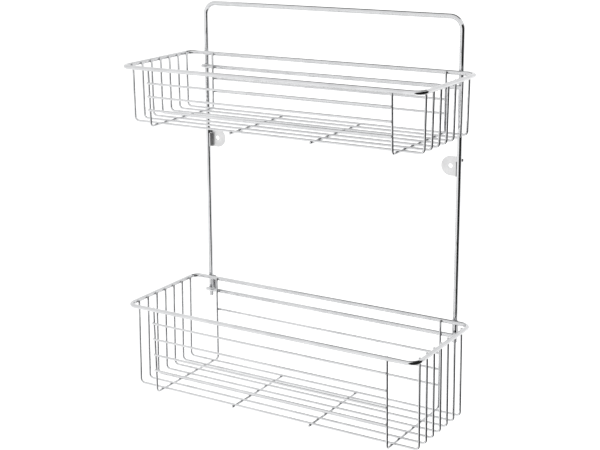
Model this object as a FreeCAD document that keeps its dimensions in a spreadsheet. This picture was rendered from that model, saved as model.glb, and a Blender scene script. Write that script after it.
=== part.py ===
import FreeCAD, Part
import Sketcher
import os
from math import sin, tan

# Two-tier welded wire shower caddy, in millimetres.
#
# Frame: the origin is midway between the two screw holes, on the wall. +X runs to the right for a
# person facing the wall, +Y into the wall, +Z up. The whole caddy is on the -Y side.
#
# Every bar is round wire. A bent frame runs down the wall side of two baskets. Each basket is a
# closed rim with a tie bar under its back, long wires bent up at both ends, cross wires bent up at
# the front and back, floor bars under the long wires, and straight rails.

doc = FreeCAD.newDocument("ShowerCaddy")

# ---------------------------------------------------------------- driving dimensions

DIMENSIONS = [
    # alias, value, what it is
    ("frame_wire", 6.0, "diameter of the back frame's wire"),
    ("rim_wire", 5.1, "diameter of the rims and tie bars"),
    ("thin_wire", 2.8, "diameter of every other wire"),
    ("weld_sink", 0.2, "how far two welded wires sink into each other"),
    ("basket_width", 400.0, "left to right, between the rim's centrelines"),
    ("rim_corner", 12.0, "radius of the rim's corners, at its centreline"),
    ("rim_spacing", 302.2, "upper rim down to lower rim"),
    ("upper_depth", 144.5, "front to back of the upper rim, between centrelines"),
    ("lower_depth", 148.3, "front to back of the lower rim, between centrelines"),
    ("upper_drop", 68.6, "upper rim down to the long wires of its floor"),
    ("lower_drop", 109.6, "lower rim down to the long wires of its floor"),
    ("upper_taper", 1.0, "how much each end of the upper basket leans in at its floor"),
    ("lower_taper", -1.0, "the same for the lower basket, which flares out instead"),
    ("front_lean", 3.0, "how much each front leans in at its floor"),
    ("wire_pitch", 18.75, "spacing of the long wires"),
    ("front_margin", 18.3, "front rim to the first long wire"),
    ("wire_bend", 5.0, "centreline radius of the bends of the thin wires"),
    ("wire_stand", 1.5, "how far the thin wires stand above the rim's centreline"),
    ("cross_offset", 162.8, "centre of the caddy to each cross wire"),
    ("bar_offset", 54.6, "centre of the caddy to each floor bar"),
    ("bar_overhang", 3.0, "floor bar beyond the outer long wires"),
    ("rail_overhang", 0.8, "centre of a cross wire to the rail's end beyond it"),
    ("upper_front_first", 17.9, "upper rim down to its first front rail"),
    ("upper_front_step", 16.4, "spacing of the upper front rails"),
    ("upper_back_first", 32.0, "upper rim down to its first back rail"),
    ("upper_back_step", 16.6, "spacing of the upper back rails"),
    ("lower_front_first", 18.9, "lower rim down to its first front rail"),
    ("lower_front_step", 21.0, "spacing of the lower front rails"),
    ("lower_back_first", 42.4, "lower rim down to its first back rail"),
    ("lower_back_step", 20.7, "spacing of the lower back rails"),
    ("tie_drop", 17.0, "rim down to the tie bar"),
    ("tie_overhang", 4.0, "tie bar beyond the frame's legs"),
    ("leg_offset", 177.8, "centre of the caddy to each leg of the frame"),
    ("frame_rise", 63.8, "upper rim up to the frame's top bar"),
    ("frame_bend", 15.0, "centreline radius of the frame's corners"),
    ("leg_end", 27.0, "lower rim down to the ends of the legs"),
    ("hole_drop", 112.2, "upper rim down to the screw holes"),
    ("hole_inset", 12.3, "centre of a leg to the screw hole beside it"),
    ("hole_radius", 2.75, "radius of a screw hole"),
    ("tab_sheet", 1.2, "thickness of the wall tabs and spacer plates"),
    ("tab_radius", 11.8, "radius of a wall tab's round end"),
    ("flange_depth", 6.5, "wall to the front edge of a tab's flange"),
    ("flange_low", 11.2, "screw hole down to the bottom of the flange"),
    ("flange_high", 6.2, "screw hole up to the top of the flange"),
    ("fold_radius", 0.8, "outside radius of the fold between tab and flange"),
    ("tongue_gap", 0.3, "top of the flange up to the tongue"),
    ("tongue_width", 3.2, "height of the tongue that runs behind the leg"),
    ("tongue_reach", 3.8, "centre of the leg to the end of the tongue"),
    ("spacer_outer", 2.5, "centre of a leg out to the edge of its spacer plate"),
    ("spacer_inner", 5.3, "centre of a leg in to the other edge of its spacer plate"),
    ("spacer_height", 18.0, "height of a spacer plate"),
    ("plate_corner", 1.0, "corner radius of a spacer plate"),
]

sheet = doc.addObject("Spreadsheet::Sheet", "Sizes")
for row, (alias, value, meaning) in enumerate(DIMENSIONS, start=1):
    sheet.set(f"A{row}", meaning)
    sheet.set(f"B{row}", str(value))
    sheet.setAlias(f"B{row}", alias)
doc.recompute()

# Places and sizes that several pieces share, as expressions on the sheet.
LEG_Y = "-(Sizes.tab_sheet + Sizes.frame_wire / 2)"
BACK_Y = "-(Sizes.tab_sheet + Sizes.frame_wire + Sizes.rim_wire / 2 - Sizes.weld_sink)"
RIM_Z = {"upper": "Sizes.hole_drop", "lower": "(Sizes.hole_drop - Sizes.rim_spacing)"}
RIM_TO_THIN = "((Sizes.rim_wire + Sizes.thin_wire) / 2 - Sizes.weld_sink)"
THIN_TO_THIN = "(Sizes.thin_wire - Sizes.weld_sink)"

LONG_WIRES = 7
FRONT_RAILS = {"upper": 3, "lower": 4}
BACK_RAILS = {"upper": 2, "lower": 3}
SIDES = {"left": -1, "right": 1}

SAME_PLACE = 0.01  # two places nearer to each other than this count as one

pieces = []


# ---------------------------------------------------------------- helpers


def keep(piece, label):
    """Gives a finished sub-part its name and puts it on the list to be written."""
    piece.Label = label
    pieces.append(piece)
    return piece


def put(piece, x="0", y="0", z="0"):
    """Places a sub-part by three expressions."""
    for axis, expression in (("x", x), ("y", y), ("z", z)):
        piece.setExpression(f"Placement.Base.{axis}", expression)


def origin_plane(body, role):
    return next(f for f in body.Origin.OriginFeatures if f.Role == role)


def new_sketch(body, name, role, offset="0"):
    """A sketch on one of the body's own origin planes, moved off it by an expression."""
    sketch = body.newObject("Sketcher::SketchObject", name)
    sketch.AttachmentSupport = [(origin_plane(body, role), "")]
    sketch.MapMode = "FlatFace"
    sketch.setExpression("AttachmentOffset.Base.z", offset)
    return sketch


def drive(sketch, kind, *places, size):
    """Adds a dimension to a sketch and binds it to an expression."""
    value = float(sketch.evalExpression(size))
    index = sketch.addConstraint(Sketcher.Constraint(kind, *places, value))
    sketch.setExpression(f"Constraints[{index}]", size)


def line(sketch, start, end, construction=False):
    segment = Part.LineSegment(FreeCAD.Vector(*start, 0), FreeCAD.Vector(*end, 0))
    return sketch.addGeometry(segment, construction)


def measure(sketch, point):
    """The present place of a point whose two coordinates are expressions."""
    return tuple(float(sketch.evalExpression(text)) for text in point)


def corner_arc(before, corner, after, radius):
    """The arc that rounds a corner between two straight runs, and where it meets them."""
    centre_point = FreeCAD.Vector(*corner, 0)
    back = (FreeCAD.Vector(*before, 0) - centre_point).normalize()
    ahead = (FreeCAD.Vector(*after, 0) - centre_point).normalize()
    half_turn = back.getAngle(ahead) / 2
    middle = (back + ahead).normalize()
    reach = radius / tan(half_turn)
    centre = centre_point + middle * (radius / sin(half_turn))
    start = centre_point + back * reach
    end = centre_point + ahead * reach
    nearest = centre - middle * radius
    return Part.ArcOfCircle(start, nearest, end), start, end


def bent_path(sketch, corners, radius, closed=False):
    """Straight runs through the corners, rounded where they turn. Corners are expression pairs.

    Construction lines carry the dimensions from corner to corner. The real lines lie on them, and
    each arc is tangent to the two lines that it joins.
    """
    places = [measure(sketch, corner) for corner in corners]
    bend = float(sketch.evalExpression(radius))
    count = len(places)
    spans = count if closed else count - 1
    guides = [
        line(sketch, places[i], places[(i + 1) % count], construction=True)
        for i in range(spans)
    ]
    for i in range(spans if closed else spans - 1):
        sketch.addConstraint(
            Sketcher.Constraint("Coincident", guides[i], 2, guides[(i + 1) % spans], 1)
        )
    for i, (across, up) in enumerate(corners):
        place = (guides[i], 1) if i < spans else (guides[-1], 2)
        drive(sketch, "DistanceX", -1, 1, *place, size=across)
        drive(sketch, "DistanceY", -1, 1, *place, size=up)

    turning = range(count) if closed else range(1, count - 1)
    bends = {
        i: corner_arc(places[i - 1], places[i], places[(i + 1) % count], bend)
        for i in turning
    }
    runs = []
    for i in range(spans):
        start = tuple(bends[i][2])[:2] if i in bends else places[i]
        last = (i + 1) % count
        end = tuple(bends[last][1])[:2] if last in bends else places[last]
        runs.append(line(sketch, start, end))
    for i, (arc, _, _) in bends.items():
        index = sketch.addGeometry(arc, False)
        before, after = runs[i - 1], runs[i % spans]
        # a sketch keeps every arc anticlockwise, so its first end may meet the later line
        flipped = (sketch.getPoint(index, 1) - bends[i][1]).Length > SAME_PLACE
        first, second = (2, 1) if flipped else (1, 2)
        sketch.addConstraint(Sketcher.Constraint("Tangent", before, 2, index, first))
        sketch.addConstraint(Sketcher.Constraint("Tangent", after, 1, index, second))
        drive(sketch, "Radius", index, size=radius)
    for i, run in enumerate(runs):
        for end, corner in ((1, i), (2, (i + 1) % count)):
            if corner in bends:
                sketch.addConstraint(
                    Sketcher.Constraint("PointOnObject", run, end, guides[i])
                )
            else:
                sketch.addConstraint(
                    Sketcher.Constraint("Coincident", run, end, guides[i], end)
                )


def driven_circle(sketch, centre, radius):
    """A circle whose centre and radius are expressions."""
    across, up = measure(sketch, centre)
    size = float(sketch.evalExpression(radius))
    circle = Part.Circle(FreeCAD.Vector(across, up, 0), FreeCAD.Vector(0, 0, 1), size)
    index = sketch.addGeometry(circle, False)
    drive(sketch, "DistanceX", -1, 1, index, 3, size=centre[0])
    drive(sketch, "DistanceY", -1, 1, index, 3, size=centre[1])
    drive(sketch, "Radius", index, size=radius)


def wire_section(body, role, centre, diameter, offset):
    """A sketch with a circle across the start of a wire, which the pipe is swept from."""
    section = new_sketch(body, "Section", role, offset)
    doc.recompute()
    driven_circle(section, centre, f"{diameter} / 2")
    return section


def sweep(body, section, path):
    pipe = body.newObject("PartDesign::AdditivePipe", "Pipe")
    pipe.Profile = section
    pipe.Spine = (path, [])
    doc.recompute()


def bent_wire(label, plane, corners, bend, diameter):
    """A wire that starts and ends pointing up, bent in its own XZ or YZ plane."""
    body = doc.addObject("PartDesign::Body", label)
    path = new_sketch(body, "Path", plane)
    doc.recompute()
    bent_path(path, corners, bend)
    across, up = corners[0]
    centre = (across, "0 mm") if plane == "XZ_Plane" else ("0 mm", across)
    section = wire_section(body, "XY_Plane", centre, diameter, up)
    sweep(body, section, path)
    return keep(body, label)


def straight_wire(label, diameter, length, along):
    """A straight wire centred on its own origin, along X or Y."""
    wire = doc.addObject("Part::Cylinder", label)
    wire.setExpression("Radius", f"{diameter} / 2")
    wire.setExpression("Height", length)
    if along == "X":
        wire.Placement.Rotation = FreeCAD.Rotation(FreeCAD.Vector(0, 1, 0), 90)
    else:
        wire.Placement.Rotation = FreeCAD.Rotation(FreeCAD.Vector(1, 0, 0), -90)
    return keep(wire, label)


# ---------------------------------------------------------------- back frame


def back_frame():
    """One wire bent into an upside-down U, drawn from the foot of the left leg."""
    foot = f"({RIM_Z['lower']} - Sizes.leg_end)"
    top = f"({RIM_Z['upper']} + Sizes.frame_rise)"
    corners = [
        ("-Sizes.leg_offset", foot),
        ("-Sizes.leg_offset", top),
        ("Sizes.leg_offset", top),
        ("Sizes.leg_offset", foot),
    ]
    frame = bent_wire(
        "back_frame", "XZ_Plane", corners, "Sizes.frame_bend", "Sizes.frame_wire"
    )
    put(frame, y=LEG_Y)


# ---------------------------------------------------------------- baskets


def rim(tier):
    """A closed rounded rectangle of wire. Its sweep starts where the right side leaves the back."""
    half_width = "Sizes.basket_width / 2"
    depth = f"Sizes.{tier}_depth"
    body = doc.addObject("PartDesign::Body", f"{tier}_rim")
    path = new_sketch(body, "Path", "XY_Plane")
    doc.recompute()
    corners = [
        (half_width, "0 mm"),
        (half_width, f"-{depth}"),
        (f"-{half_width}", f"-{depth}"),
        (f"-{half_width}", "0 mm"),
    ]
    bent_path(path, corners, "Sizes.rim_corner", closed=True)
    centre = (half_width, "0 mm")
    section = wire_section(
        body, "XZ_Plane", centre, "Sizes.rim_wire", "Sizes.rim_corner"
    )
    sweep(body, section, path)
    keep(body, f"{tier}_rim")
    put(body, y=BACK_Y, z=RIM_Z[tier])


def tie_bar(tier):
    """The second thick wire across the back, below the rim and in line with it."""
    length = "2 * (Sizes.leg_offset + Sizes.tie_overhang)"
    bar = straight_wire(f"{tier}_tie_bar", "Sizes.rim_wire", length, "X")
    put(bar, x=f"-{length} / 2", y=BACK_Y, z=f"{RIM_Z[tier]} - Sizes.tie_drop")


def long_wire_y(tier, number):
    front = f"{BACK_Y} - Sizes.{tier}_depth + Sizes.front_margin"
    return f"{front} + {number - 1} * Sizes.wire_pitch"


def long_wires(tier):
    """Wires that run down the left end, along the floor and up the right end."""
    top_x = f"(Sizes.basket_width / 2 - {RIM_TO_THIN})"
    floor_x = f"({top_x} - Sizes.{tier}_taper)"
    floor_z = f"-Sizes.{tier}_drop"
    corners = [
        (f"-{top_x}", "Sizes.wire_stand"),
        (f"-{floor_x}", floor_z),
        (floor_x, floor_z),
        (top_x, "Sizes.wire_stand"),
    ]
    for number in range(1, LONG_WIRES + 1):
        label = f"{tier}_long_wire_{number}"
        wire = bent_wire(
            label, "XZ_Plane", corners, "Sizes.wire_bend", "Sizes.thin_wire"
        )
        put(wire, y=long_wire_y(tier, number), z=RIM_Z[tier])


def cross_wires(tier):
    """Wires that run down the front, under the long wires and up the back."""
    front_top = f"-(Sizes.{tier}_depth - {RIM_TO_THIN})"
    front_floor = f"({front_top} + Sizes.front_lean)"
    back = f"-{RIM_TO_THIN}"
    floor_z = f"-(Sizes.{tier}_drop + {THIN_TO_THIN})"
    corners = [
        (front_top, "Sizes.wire_stand"),
        (front_floor, floor_z),
        (back, floor_z),
        (back, "Sizes.wire_stand"),
    ]
    for side, sign in SIDES.items():
        label = f"{tier}_cross_wire_{side}"
        wire = bent_wire(
            label, "YZ_Plane", corners, "Sizes.wire_bend", "Sizes.thin_wire"
        )
        put(wire, x=f"{sign} * Sizes.cross_offset", y=BACK_Y, z=RIM_Z[tier])


def floor_bars(tier):
    """Short straight wires under the long wires, at a third and two thirds of the width."""
    floor_z = f"{RIM_Z[tier]} - Sizes.{tier}_drop - {THIN_TO_THIN}"
    length = f"({LONG_WIRES - 1} * Sizes.wire_pitch + 2 * Sizes.bar_overhang)"
    for side, sign in SIDES.items():
        label = f"{tier}_floor_bar_{side}"
        bar = straight_wire(label, "Sizes.thin_wire", length, "Y")
        put(
            bar,
            x=f"{sign} * Sizes.bar_offset",
            y=f"{long_wire_y(tier, 1)} - Sizes.bar_overhang",
            z=floor_z,
        )


def rails(tier):
    """Straight wires across the outside of the cross wires, front and back."""
    length = "2 * (Sizes.cross_offset + Sizes.rail_overhang)"
    lean = f"Sizes.front_lean / (Sizes.{tier}_drop + {THIN_TO_THIN} + Sizes.wire_stand)"
    front_top = f"(-Sizes.{tier}_depth + {RIM_TO_THIN} - {THIN_TO_THIN})"
    rows = [
        ("front", FRONT_RAILS[tier], front_top, lean),
        ("back", BACK_RAILS[tier], f"(-{RIM_TO_THIN} + {THIN_TO_THIN})", "0"),
    ]
    for face, count, outside, slope in rows:
        for number in range(1, count + 1):
            first = f"Sizes.{tier}_{face}_first"
            drop = f"({first} + {number - 1} * Sizes.{tier}_{face}_step)"
            rail = straight_wire(
                f"{tier}_{face}_rail_{number}", "Sizes.thin_wire", length, "X"
            )
            put(
                rail,
                x=f"-{length} / 2",
                y=f"{BACK_Y} + {outside} + ({drop} + Sizes.wire_stand) * {slope}",
                z=f"{RIM_Z[tier]} - {drop}",
            )


# ---------------------------------------------------------------- sheet-metal plates


def outline(sketch, corners):
    """A closed polygon with every corner dimensioned from the sketch's origin."""
    places = [measure(sketch, corner) for corner in corners]
    count = len(places)
    edges = [line(sketch, places[i], places[(i + 1) % count]) for i in range(count)]
    for i, (across, up) in enumerate(corners):
        sketch.addConstraint(
            Sketcher.Constraint("Coincident", edges[i - 1], 2, edges[i], 1)
        )
        drive(sketch, "DistanceX", -1, 1, edges[i], 1, size=across)
        drive(sketch, "DistanceY", -1, 1, edges[i], 1, size=up)


def pad_from_wall(body, sketch, depth):
    """Thickens a sketch drawn on the wall plane away from the wall, towards -Y."""
    pad = body.newObject("PartDesign::Pad", "Pad")
    pad.Profile = sketch
    pad.setExpression("Length", depth)
    doc.recompute()
    if body.Shape.BoundBox.YMax > SAME_PLACE:
        pad.Reversed = True
        doc.recompute()
    return pad


def box_outline(sketch, x_near, x_far, low, high):
    """A closed rectangle between two places across and two up."""
    outline(sketch, [(x_near, low), (x_far, low), (x_far, high), (x_near, high)])


def wall_tab(side, sign):
    """A tab with one screw hole: a flat D against the wall, with a flange folded forward along
    the inner side of the leg and a narrow tongue that stays flat and runs behind the leg.

    It is drawn from the screw hole's centre. Outward is away from the middle of the caddy.
    """
    fold = "(Sizes.hole_inset - Sizes.frame_wire / 2 + Sizes.weld_sink)"
    body = doc.addObject("PartDesign::Body", f"{side}_wall_tab")

    plate = new_sketch(body, "PlateOutline", "XZ_Plane")
    doc.recompute()
    radius = float(plate.evalExpression("Sizes.tab_radius"))
    edge = sign * float(plate.evalExpression(fold))
    top = line(plate, (0, radius), (edge, radius))
    straight = line(plate, (edge, radius), (edge, -radius))
    bottom = line(plate, (edge, -radius), (0, -radius))
    round_end = plate.addGeometry(
        Part.ArcOfCircle(
            FreeCAD.Vector(0, -radius, 0),
            FreeCAD.Vector(-sign * radius, 0, 0),
            FreeCAD.Vector(0, radius, 0),
        ),
        False,
    )
    low_end, high_end = (1, 2) if sign < 0 else (2, 1)
    constraints = [
        ("Coincident", top, 2, straight, 1),
        ("Coincident", straight, 2, bottom, 1),
        ("Horizontal", top),
        ("Horizontal", bottom),
        ("Vertical", straight),
        ("Tangent", bottom, 2, round_end, low_end),
        ("Tangent", top, 1, round_end, high_end),
        ("Coincident", round_end, 3, -1, 1),
    ]
    for constraint in constraints:
        plate.addConstraint(Sketcher.Constraint(*constraint))
    drive(plate, "Radius", round_end, size="Sizes.tab_radius")
    drive(plate, "DistanceX", -1, 1, straight, 1, size=f"{sign} * {fold}")
    pad_from_wall(body, plate, "Sizes.tab_sheet")

    flange = new_sketch(body, "FlangeOutline", "XZ_Plane")
    doc.recompute()
    box_outline(
        flange,
        f"{sign} * ({fold} - Sizes.tab_sheet)",
        f"{sign} * {fold}",
        "-Sizes.flange_low",
        "Sizes.flange_high",
    )
    pad_from_wall(body, flange, "Sizes.flange_depth")

    round_fold(body, edge)

    tongue = new_sketch(body, "TongueOutline", "XZ_Plane")
    doc.recompute()
    tongue_low = "(Sizes.flange_high + Sizes.tongue_gap)"
    box_outline(
        tongue,
        f"{sign} * ({fold} - Sizes.tab_sheet)",
        f"{sign} * (Sizes.hole_inset + Sizes.tongue_reach)",
        tongue_low,
        f"{tongue_low} + Sizes.tongue_width",
    )
    pad_from_wall(body, tongue, "Sizes.tab_sheet")

    hole = new_sketch(body, "ScrewHole", "XZ_Plane")
    doc.recompute()
    driven_circle(hole, ("0 mm", "0 mm"), "Sizes.hole_radius")
    whole = body.Shape.Volume
    pocket = body.newObject("PartDesign::Pocket", "Pocket")
    pocket.Profile = hole
    pocket.Type = "ThroughAll"
    pocket.Midplane = True
    doc.recompute()
    if body.Shape.Volume >= whole:
        raise RuntimeError(f"the screw hole of the {side} wall tab cuts nothing")

    keep(body, f"{side}_wall_tab")
    put(body, x=f"{sign} * (Sizes.leg_offset - Sizes.hole_inset)")


def round_fold(body, edge_x):
    """Rounds the outer edge of the fold, where the flange leaves the wall."""
    tip = body.Tip
    names = [
        f"Edge{number}"
        for number, edge in enumerate(tip.Shape.Edges, start=1)
        if abs(edge.BoundBox.XMin - edge_x) < SAME_PLACE
        and abs(edge.BoundBox.XMax - edge_x) < SAME_PLACE
        and abs(edge.BoundBox.YMin) < SAME_PLACE
        and abs(edge.BoundBox.YMax) < SAME_PLACE
    ]
    if not names:
        raise RuntimeError(f"no fold edge found at x {edge_x}")
    fillet = body.newObject("PartDesign::Fillet", "Fold")
    fillet.Base = (tip, names)
    fillet.setExpression("Radius", "Sizes.fold_radius")
    doc.recompute()


def spacer_plate(side, sign):
    """A small plate on the wall side of the leg, behind the lower basket."""
    body = doc.addObject("PartDesign::Body", f"lower_{side}_spacer_plate")
    face = new_sketch(body, "Face", "XZ_Plane")
    doc.recompute()
    box_outline(
        face,
        f"-{sign} * Sizes.spacer_inner",
        f"{sign} * Sizes.spacer_outer",
        "-Sizes.spacer_height / 2",
        "Sizes.spacer_height / 2",
    )
    pad = pad_from_wall(body, face, "Sizes.tab_sheet")
    corners = [
        f"Edge{number}"
        for number, edge in enumerate(pad.Shape.Edges, start=1)
        if edge.BoundBox.YLength > SAME_PLACE
    ]
    fillet = body.newObject("PartDesign::Fillet", "Corners")
    fillet.Base = (pad, corners)
    fillet.setExpression("Radius", "Sizes.plate_corner")
    doc.recompute()
    keep(body, f"lower_{side}_spacer_plate")
    put(
        body,
        x=f"{sign} * Sizes.leg_offset",
        z=f"{RIM_Z['lower']} - Sizes.tie_drop / 2",
    )


# ---------------------------------------------------------------- build, check and write

back_frame()
for tier in RIM_Z:
    rim(tier)
    tie_bar(tier)
    long_wires(tier)
    cross_wires(tier)
    floor_bars(tier)
    rails(tier)
for side, sign in SIDES.items():
    wall_tab(side, sign)
    spacer_plate(side, sign)

doc.recompute()

for item in doc.Objects:
    if "Invalid" in item.State or "Error" in item.State:
        raise RuntimeError(f"{item.Label} failed: {item.State}")
for piece in pieces:
    shape = piece.Shape
    if shape.isNull() or not shape.isValid() or len(shape.Solids) != 1:
        raise RuntimeError(f"{piece.Label} isn't one valid solid")

os.makedirs("parts", exist_ok=True)
for piece in pieces:
    piece.Shape.exportStep(f"parts/{piece.Label}.step")
print(len(pieces), "sub-parts written")
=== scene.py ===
from math import cos, pi, radians, sin, tan

import bmesh
import bpy
from mathutils import Matrix, Vector


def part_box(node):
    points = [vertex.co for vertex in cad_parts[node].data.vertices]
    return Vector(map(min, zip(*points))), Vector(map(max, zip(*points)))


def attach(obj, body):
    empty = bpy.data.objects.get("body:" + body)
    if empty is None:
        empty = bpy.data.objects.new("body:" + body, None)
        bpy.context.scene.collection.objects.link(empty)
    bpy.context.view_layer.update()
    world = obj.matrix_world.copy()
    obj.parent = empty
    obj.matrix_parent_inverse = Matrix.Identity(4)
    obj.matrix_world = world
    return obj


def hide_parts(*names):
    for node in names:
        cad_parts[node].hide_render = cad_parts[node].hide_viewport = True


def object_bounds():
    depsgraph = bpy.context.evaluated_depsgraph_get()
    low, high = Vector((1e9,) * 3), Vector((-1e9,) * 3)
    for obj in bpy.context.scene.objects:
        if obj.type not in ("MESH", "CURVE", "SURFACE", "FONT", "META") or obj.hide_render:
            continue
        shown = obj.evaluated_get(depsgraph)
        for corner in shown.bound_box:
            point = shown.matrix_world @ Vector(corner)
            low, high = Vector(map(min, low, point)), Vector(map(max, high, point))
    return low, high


# A two-tier wire shower caddy, in metres, in the CAD model's frame: the origin midway between the
# screw holes on the wall, +X to the right for a person facing the wall, +Y into the wall, +Z up.
#
# Every wire is drawn again as a smooth round tube along its CAD node's route, with sheared ends and
# a bead of weld metal wherever two wires are welded.

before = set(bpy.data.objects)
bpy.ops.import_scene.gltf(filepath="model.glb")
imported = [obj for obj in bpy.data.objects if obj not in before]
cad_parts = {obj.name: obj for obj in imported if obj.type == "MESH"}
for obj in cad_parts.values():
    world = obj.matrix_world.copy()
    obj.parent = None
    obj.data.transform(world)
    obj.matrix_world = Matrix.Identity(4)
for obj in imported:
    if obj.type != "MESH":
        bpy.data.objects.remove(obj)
cad_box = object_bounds()

MM = 0.001

# ---------------------------------------------------------------- sizes that the boxes don't tell

# Bend radii, along the centre line of a wire.
RIM_CORNER = 12 * MM
FRAME_BEND = 15 * MM
WIRE_BEND = 5 * MM
# How far the front of a cross wire leans towards the wall on its way down to the floor.
FRONT_LEAN = 3 * MM
# How much further out each end of a long wire stands at the rim than at the floor.
END_TAPER = {"upper": 1 * MM, "lower": -1 * MM}
# How far two wires sink into each other at a weld.
WELD_SINK = 0.2 * MM

TIERS = ("upper", "lower")
SIDES = {"left": -1, "right": 1}
LONG_WIRES = range(1, 8)
FRONT_RAILS = {"upper": range(1, 4), "lower": range(1, 5)}
BACK_RAILS = {"upper": range(1, 3), "lower": range(1, 4)}

# The sides of a round wire, and about how far a bend turns from one ring to the next.
ROUND_SIDES = 32
BEND_STEP = radians(7.5)

X, Y, Z = Vector((1, 0, 0)), Vector((0, 1, 0)), Vector((0, 0, 1))


# ---------------------------------------------------------------- meshes


def new_object(name, bm, smooth=True):
    mesh = bpy.data.meshes.new(name)
    bm.normal_update()
    bm.to_mesh(mesh)
    bm.free()
    for polygon in mesh.polygons:
        polygon.use_smooth = smooth
    piece = bpy.data.objects.new(name, mesh)
    bpy.context.scene.collection.objects.link(piece)
    return piece


def bent(corners, radius, closed=False):
    """The route through some corners, with an arc of that radius at each turn."""
    count = len(corners)
    route = []
    for i, corner in enumerate(corners):
        if not closed and i in (0, count - 1):
            route.append(corner.copy())
            continue
        back = (corners[i - 1] - corner).normalized()
        ahead = (corners[(i + 1) % count] - corner).normalized()
        half = back.angle(ahead) / 2
        start = corner + back * (radius / tan(half))
        centre = corner + (back + ahead).normalized() * (radius / sin(half))
        turn = pi - 2 * half
        axis = (-back).cross(ahead).normalized()
        steps = max(2, round(turn / BEND_STEP))
        spoke = start - centre
        for k in range(steps + 1):
            route.append(centre + Matrix.Rotation(turn * k / steps, 3, axis) @ spoke)
    return route


def ring(bm, centre, across, up, radius):
    angles = [2 * pi * k / ROUND_SIDES for k in range(ROUND_SIDES)]
    return [bm.verts.new(centre + (across * cos(a) + up * sin(a)) * radius) for a in angles]


def join_rings(bm, rings, closed=False):
    pairs = list(zip(rings, rings[1:]))
    if closed:
        pairs.append((rings[-1], rings[0]))
    for one, other in pairs:
        for k in range(ROUND_SIDES):
            after = (k + 1) % ROUND_SIDES
            bm.faces.new((one[k], one[after], other[after], other[k]))


def directions(route, closed):
    """The direction of travel at each point of a route."""
    count = len(route)
    found = []
    for i in range(count):
        before = route[i - 1] if closed or i > 0 else route[i]
        after = route[(i + 1) % count] if closed or i < count - 1 else route[i]
        into = (route[i] - before).normalized() if before is not route[i] else Vector()
        out = (after - route[i]).normalized() if after is not route[i] else Vector()
        found.append((into + out).normalized())
    return found


# A sheared end: how far back from the end each ring stands, and how wide it is, both as shares of
# the wire's radius.
SHEARED_END = ((0.0, 0.55), (0.03, 0.8), (0.1, 0.94), (0.22, 1.0))


def tube(name, route, radius, flat_normal, closed=False):
    """A round wire along a route that lies in one plane, whose normal is flat_normal."""
    bm = bmesh.new()
    ways = directions(route, closed)
    rings = []
    last = len(route) - 1
    for i, (point, way) in enumerate(zip(route, ways)):
        side = way.cross(flat_normal)
        if closed or 0 < i < last:
            rings.append(ring(bm, point, flat_normal, side, radius))
            continue
        inward = way if i == 0 else -way
        end = [
            ring(bm, point + inward * radius * set_back, flat_normal, side, radius * share)
            for set_back, share in SHEARED_END
        ]
        rings += end if i == 0 else end[::-1]
    join_rings(bm, rings, closed)
    if not closed:
        bm.faces.new(rings[0][::-1])
        bm.faces.new(rings[-1])
    bmesh.ops.recalc_face_normals(bm, faces=bm.faces)
    return new_object(name, bm)


BEAD_ROWS = 8
BEAD_COLUMNS = 16


def bead(bm, centre, along, across, size):
    """A bead of weld metal, squeezed flat between two wires that run along and across."""
    normal = along.cross(across).normalized()
    length, width, height = size
    rows = []
    for i in range(1, BEAD_ROWS):
        lift = cos(pi * i / BEAD_ROWS)
        girth = sin(pi * i / BEAD_ROWS)
        rows.append(
            [
                bm.verts.new(
                    centre
                    + along * length * girth * cos(2 * pi * k / BEAD_COLUMNS)
                    + across * width * girth * sin(2 * pi * k / BEAD_COLUMNS)
                    + normal * height * lift
                )
                for k in range(BEAD_COLUMNS)
            ]
        )
    top = bm.verts.new(centre + normal * height)
    bottom = bm.verts.new(centre - normal * height)
    for k in range(BEAD_COLUMNS):
        after = (k + 1) % BEAD_COLUMNS
        bm.faces.new((top, rows[0][k], rows[0][after]))
        bm.faces.new((bottom, rows[-1][after], rows[-1][k]))
        for one, other in zip(rows, rows[1:]):
            bm.faces.new((one[k], other[k], other[after], one[after]))


# ---------------------------------------------------------------- materials


def new_material(name):
    material = bpy.data.materials.new(name)
    material.use_nodes = True
    return material, material.node_tree.nodes, material.node_tree.links


NOISE_DETAIL = 3.0
RAMP_START, RAMP_END = 0.3, 0.7
RIPPLE_STRENGTH = 0.35


def noise(nodes, links, scale):
    """Noise in the object's own metres, so that its grain has a real size."""
    place = nodes.new("ShaderNodeTexCoord")
    texture = nodes.new("ShaderNodeTexNoise")
    texture.inputs["Scale"].default_value = scale
    texture.inputs["Detail"].default_value = NOISE_DETAIL
    links.new(place.outputs["Object"], texture.inputs["Vector"])
    return texture.outputs["Fac"]


def spread(nodes, links, value, low, high):
    """Maps a 0 to 1 value onto a range."""
    mapped = nodes.new("ShaderNodeMapRange")
    mapped.inputs["To Min"].default_value = low
    mapped.inputs["To Max"].default_value = high
    links.new(value, mapped.inputs["Value"])
    return mapped.outputs["Result"]


def tinted(nodes, links, value, dark, light):
    """Maps a 0 to 1 value onto a run between two colours."""
    ramp = nodes.new("ShaderNodeValToRGB")
    ramp.color_ramp.elements[0].position = RAMP_START
    ramp.color_ramp.elements[0].color = (*dark, 1)
    ramp.color_ramp.elements[1].position = RAMP_END
    ramp.color_ramp.elements[1].color = (*light, 1)
    links.new(value, ramp.inputs["Fac"])
    return ramp.outputs["Color"]


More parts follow.
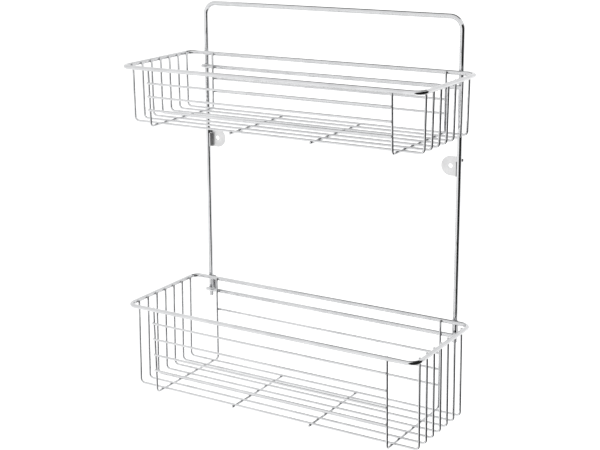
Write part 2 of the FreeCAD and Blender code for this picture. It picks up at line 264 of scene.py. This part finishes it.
def metal(name, dark, light, roughness, grain, bump_height):
    """A plated metal: patches of colour, uneven gloss and a fine ripple in the surface.

    grain gives the noise scale of each of the three, in that order.
    """
    patch_grain, gloss_grain, ripple_grain = grain
    material, nodes, links = new_material(name)
    shader = nodes["Principled BSDF"]
    shader.inputs["Metallic"].default_value = 1.0
    patches = noise(nodes, links, patch_grain)
    links.new(tinted(nodes, links, patches, dark, light), shader.inputs["Base Color"])
    gloss = noise(nodes, links, gloss_grain)
    links.new(spread(nodes, links, gloss, *roughness), shader.inputs["Roughness"])
    ripple = nodes.new("ShaderNodeBump")
    ripple.inputs["Strength"].default_value = RIPPLE_STRENGTH
    ripple.inputs["Distance"].default_value = bump_height
    links.new(noise(nodes, links, ripple_grain), ripple.inputs["Height"])
    links.new(ripple.outputs["Normal"], shader.inputs["Normal"])
    return material


CHROME = metal(
    "chrome plate",
    dark=(0.585, 0.59, 0.60),
    light=(0.665, 0.67, 0.68),
    roughness=(0.03, 0.10),
    grain=(60, 350, 900),
    bump_height=0.03 * MM,
)
WELD = metal(
    "plated weld",
    dark=(0.24, 0.24, 0.245),
    light=(0.42, 0.42, 0.425),
    roughness=(0.18, 0.40),
    grain=(500, 900, 2200),
    bump_height=0.12 * MM,
)
SHEET = metal(
    "satin plated sheet",
    dark=(0.60, 0.60, 0.605),
    light=(0.68, 0.68, 0.685),
    roughness=(0.26, 0.38),
    grain=(90, 420, 1500),
    bump_height=0.02 * MM,
)


# ---------------------------------------------------------------- placing a piece


def finish_piece(piece, material, slot, *nodes):
    piece.data.materials.append(material)
    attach(piece, "root")
    if nodes:
        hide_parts(*nodes)


def wire(node, route, radius, flat_normal, closed=False):
    piece = tube(f"{node}_tube", route, radius, flat_normal, closed)
    finish_piece(piece, CHROME, "chrome_wire", node)


def straight(node):
    """A straight wire along the longest side of its CAD box. Returns its middle and radius."""
    low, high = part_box(node)
    middle = (low + high) / 2
    size = high - low
    along = X if size.x > size.y else Y
    half = along * (size.dot(along) / 2)
    radius = size.z / 2
    wire(node, [middle - half, middle + half], radius, Z)
    return middle, radius


# ---------------------------------------------------------------- the wires


def back_frame():
    low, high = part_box("back_frame")
    radius = (high.y - low.y) / 2
    y = (low.y + high.y) / 2
    side = high.x - radius
    top = high.z - radius
    corners = [
        Vector((-side, y, low.z)),
        Vector((-side, y, top)),
        Vector((side, y, top)),
        Vector((side, y, low.z)),
    ]
    wire("back_frame", bent(corners, FRAME_BEND), radius, Y)
    return side, y, radius


def rim(tier):
    low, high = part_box(f"{tier}_rim")
    radius = (high.z - low.z) / 2
    side = high.x - radius
    back = high.y - radius
    front = low.y + radius
    z = (low.z + high.z) / 2
    corners = [
        Vector((side, back, z)),
        Vector((side, front, z)),
        Vector((-side, front, z)),
        Vector((-side, back, z)),
    ]
    wire(f"{tier}_rim", bent(corners, RIM_CORNER, closed=True), radius, Z, closed=True)
    return {"side": side, "front": front, "back": back, "z": z, "radius": radius}


def long_wire(tier, number):
    node = f"{tier}_long_wire_{number}"
    low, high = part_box(node)
    radius = (high.y - low.y) / 2
    y = (low.y + high.y) / 2
    widest = high.x - radius
    top_x = widest + min(0, END_TAPER[tier])
    floor_x = top_x - END_TAPER[tier]
    floor_z = low.z + radius
    corners = [
        Vector((-top_x, y, high.z)),
        Vector((-floor_x, y, floor_z)),
        Vector((floor_x, y, floor_z)),
        Vector((top_x, y, high.z)),
    ]
    wire(node, bent(corners, WIRE_BEND), radius, Y)
    return {"y": y, "z": floor_z, "radius": radius}


def cross_wire(tier, side):
    node = f"{tier}_cross_wire_{side}"
    low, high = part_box(node)
    radius = (high.x - low.x) / 2
    x = (low.x + high.x) / 2
    front = low.y + radius
    back = high.y - radius
    floor_z = low.z + radius
    corners = [
        Vector((x, front, high.z)),
        Vector((x, front + FRONT_LEAN, floor_z)),
        Vector((x, back, floor_z)),
        Vector((x, back, high.z)),
    ]
    wire(node, bent(corners, WIRE_BEND), radius, X)
    return x


# ---------------------------------------------------------------- the welds

# Half sizes of a bead, as shares of the radius of the thinner wire of its pair.
BEAD_LENGTH = 1.15
BEAD_HEIGHT = 0.62


def weld(bm, centre, along, across, radius):
    size = (radius * BEAD_LENGTH, radius * BEAD_LENGTH, radius * BEAD_HEIGHT)
    bead(bm, centre, along, across, size)


def basket(tier, leg_x, leg_y, leg_radius):
    """All the wires of one basket, with the beads that hold it together as one more piece."""
    rim_of = rim(tier)
    longs = [long_wire(tier, number) for number in LONG_WIRES]
    cross_xs = [cross_wire(tier, side) for side in SIDES]
    tie, tie_radius = straight(f"{tier}_tie_bar")
    bars = [straight(f"{tier}_floor_bar_{side}")[0] for side in SIDES]
    front_rails = [straight(f"{tier}_front_rail_{n}")[0] for n in FRONT_RAILS[tier]]
    back_rails = [straight(f"{tier}_back_rail_{n}")[0] for n in BACK_RAILS[tier]]

    thin = longs[0]["radius"]
    bm = bmesh.new()
    inside_rim = rim_of["radius"] - WELD_SINK / 2
    for long in longs:
        for sign in SIDES.values():
            place = Vector((sign * (rim_of["side"] - inside_rim), long["y"], rim_of["z"]))
            weld(bm, place, Z, Y, thin)
        for x in cross_xs + [bar.x for bar in bars]:
            place = Vector((x, long["y"], long["z"] - thin + WELD_SINK / 2))
            weld(bm, place, X, Y, thin)
    for x in cross_xs:
        for y, inward in ((rim_of["front"], 1), (rim_of["back"], -1)):
            place = Vector((x, y + inward * inside_rim, rim_of["z"]))
            weld(bm, place, Z, X, thin)
        for rail in front_rails:
            weld(bm, Vector((x, rail.y + thin, rail.z)), Z, X, thin)
        for rail in back_rails:
            weld(bm, Vector((x, rail.y - thin, rail.z)), Z, X, thin)
    behind_rim = leg_y - leg_radius + WELD_SINK / 2
    for sign in SIDES.values():
        for z in (rim_of["z"], tie.z):
            weld(bm, Vector((sign * leg_x, behind_rim, z)), Z, X, tie_radius)
    bmesh.ops.recalc_face_normals(bm, faces=bm.faces)
    beads = new_object(f"{tier}_basket_welds", bm)
    finish_piece(beads, WELD, "chrome_wire")


leg_x, leg_y, leg_radius = back_frame()
for tier in TIERS:
    basket(tier, leg_x, leg_y, leg_radius)

# ---------------------------------------------------------------- the sheet-metal plates

for side in SIDES:
    for node in (f"{side}_wall_tab", f"lower_{side}_spacer_plate"):
        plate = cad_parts[node]
        if not plate.material_slots:
            plate.data.materials.append(SHEET)
        for material_slot in plate.material_slots:
            material_slot.material = SHEET

# ---------------------------------------------------------------- floor, light and camera

# The floor glows a little, so that it stays white under the baskets.
FLOOR_HALF = 30
FLOOR_DROP = 0.6
FLOOR_GRAIN = 3
FLOOR_DARK, FLOOR_LIGHT = 0.90, 0.92
FLOOR_ROUGHNESS = 0.9
FLOOR_GLOW = 0.25


def floor():
    half = FLOOR_HALF
    bm = bmesh.new()
    corners = [(-half, -half), (half, -half), (half, half), (-half, half)]
    caddy_bottom = cad_box[0][2]
    z = caddy_bottom - FLOOR_DROP
    bm.faces.new([bm.verts.new((x, y, z)) for x, y in corners])
    piece = new_object("floor", bm, smooth=False)
    material, nodes, links = new_material("pale floor")
    shader = nodes["Principled BSDF"]
    shader.inputs["Roughness"].default_value = FLOOR_ROUGHNESS
    patches = noise(nodes, links, FLOOR_GRAIN)
    colour = tinted(nodes, links, patches, (FLOOR_DARK,) * 3, (FLOOR_LIGHT,) * 3)
    links.new(colour, shader.inputs["Base Color"])
    shader.inputs["Emission Color"].default_value = (1, 1, 1, 1)
    shader.inputs["Emission Strength"].default_value = FLOOR_GLOW
    piece.data.materials.append(material)


# The dark cards: name, centre, width and height, grey, and the way each one faces.
CARDS = (
    ("right card", Vector((0.36, -0.395, -0.32)), (0.95, 1.15), 0.005, -X),
    ("low front card", Vector((0.36, -1.40, -0.55)), (1.05, 0.70), 0.005, -X),
    ("ceiling card", Vector((0.0, 0.62, 1.2)), (1.7, 1.35), 0.01, -Z),
)
CARD_GRAIN = 2
CARD_SPREAD = 1.1
CARD_ROUGHNESS = 1.0


def card(name, centre, size, grey, normal):
    """A flat dark card that shows only in reflections."""
    bm = bmesh.new()
    faces_up_or_down = abs(normal.z) > 0.5
    across = (X if faces_up_or_down else Z.cross(normal)).normalized()
    up = normal.cross(across).normalized()
    half_width, half_height = (side / 2 for side in size)
    bm.faces.new(
        [
            bm.verts.new(centre + across * sx * half_width + up * sz * half_height)
            for sx, sz in ((-1, -1), (1, -1), (1, 1), (-1, 1))
        ]
    )
    piece = new_object(name, bm, smooth=False)
    material, nodes, links = new_material(name)
    shader = nodes["Principled BSDF"]
    shader.inputs["Roughness"].default_value = CARD_ROUGHNESS
    patches = noise(nodes, links, CARD_GRAIN)
    shades = tinted(nodes, links, patches, (grey,) * 3, (grey * CARD_SPREAD,) * 3)
    links.new(shades, shader.inputs["Base Color"])
    piece.data.materials.append(material)
    piece.visible_camera = False
    piece.visible_shadow = False
    piece.visible_diffuse = False


SKY_STRENGTH = 1.08


def sky():
    """A white surround on every side."""
    world = bpy.data.worlds.new("white studio")
    world.use_nodes = True
    background = world.node_tree.nodes["Background"]
    background.inputs["Color"].default_value = (1, 1, 1, 1)
    background.inputs["Strength"].default_value = SKY_STRENGTH
    bpy.context.scene.world = world


# The camera turns about VIEW_TARGET. Its sensor and lens are in millimetres, and its shifts are
# shares of the picture's width.
VIEW_AZIMUTH = radians(33.344)
VIEW_ELEVATION = radians(13.917)
VIEW_ROLL = radians(-0.844)
VIEW_DISTANCE = 1.67095
VIEW_TARGET = Vector((-0.0865, -0.06955, -0.0459))
SENSOR = 36
LENS = 80.567
SHIFT_X = 0.1
SHIFT_Y = -0.0583
CLIP_END = 200


def camera():
    back = Vector(
        (
            sin(VIEW_AZIMUTH) * cos(VIEW_ELEVATION),
            -cos(VIEW_AZIMUTH) * cos(VIEW_ELEVATION),
            sin(VIEW_ELEVATION),
        )
    )
    level = Vector((cos(VIEW_AZIMUTH), sin(VIEW_AZIMUTH), 0))
    up = back.cross(level)
    right = level * cos(VIEW_ROLL) + up * sin(VIEW_ROLL)
    up = back.cross(right)
    data = bpy.data.cameras.new("camera")
    data.sensor_width = SENSOR
    data.lens = LENS
    data.shift_x = SHIFT_X
    data.shift_y = SHIFT_Y
    data.clip_end = CLIP_END
    view = bpy.data.objects.new("camera", data)
    view.matrix_world = Matrix((right, up, back)).transposed().to_4x4()
    view.matrix_world.translation = VIEW_TARGET + back * VIEW_DISTANCE
    bpy.context.scene.collection.objects.link(view)
    bpy.context.scene.camera = view


floor()
for card_details in CARDS:
    card(*card_details)
sky()
camera()
bpy.context.scene.view_settings.view_transform = "Standard"
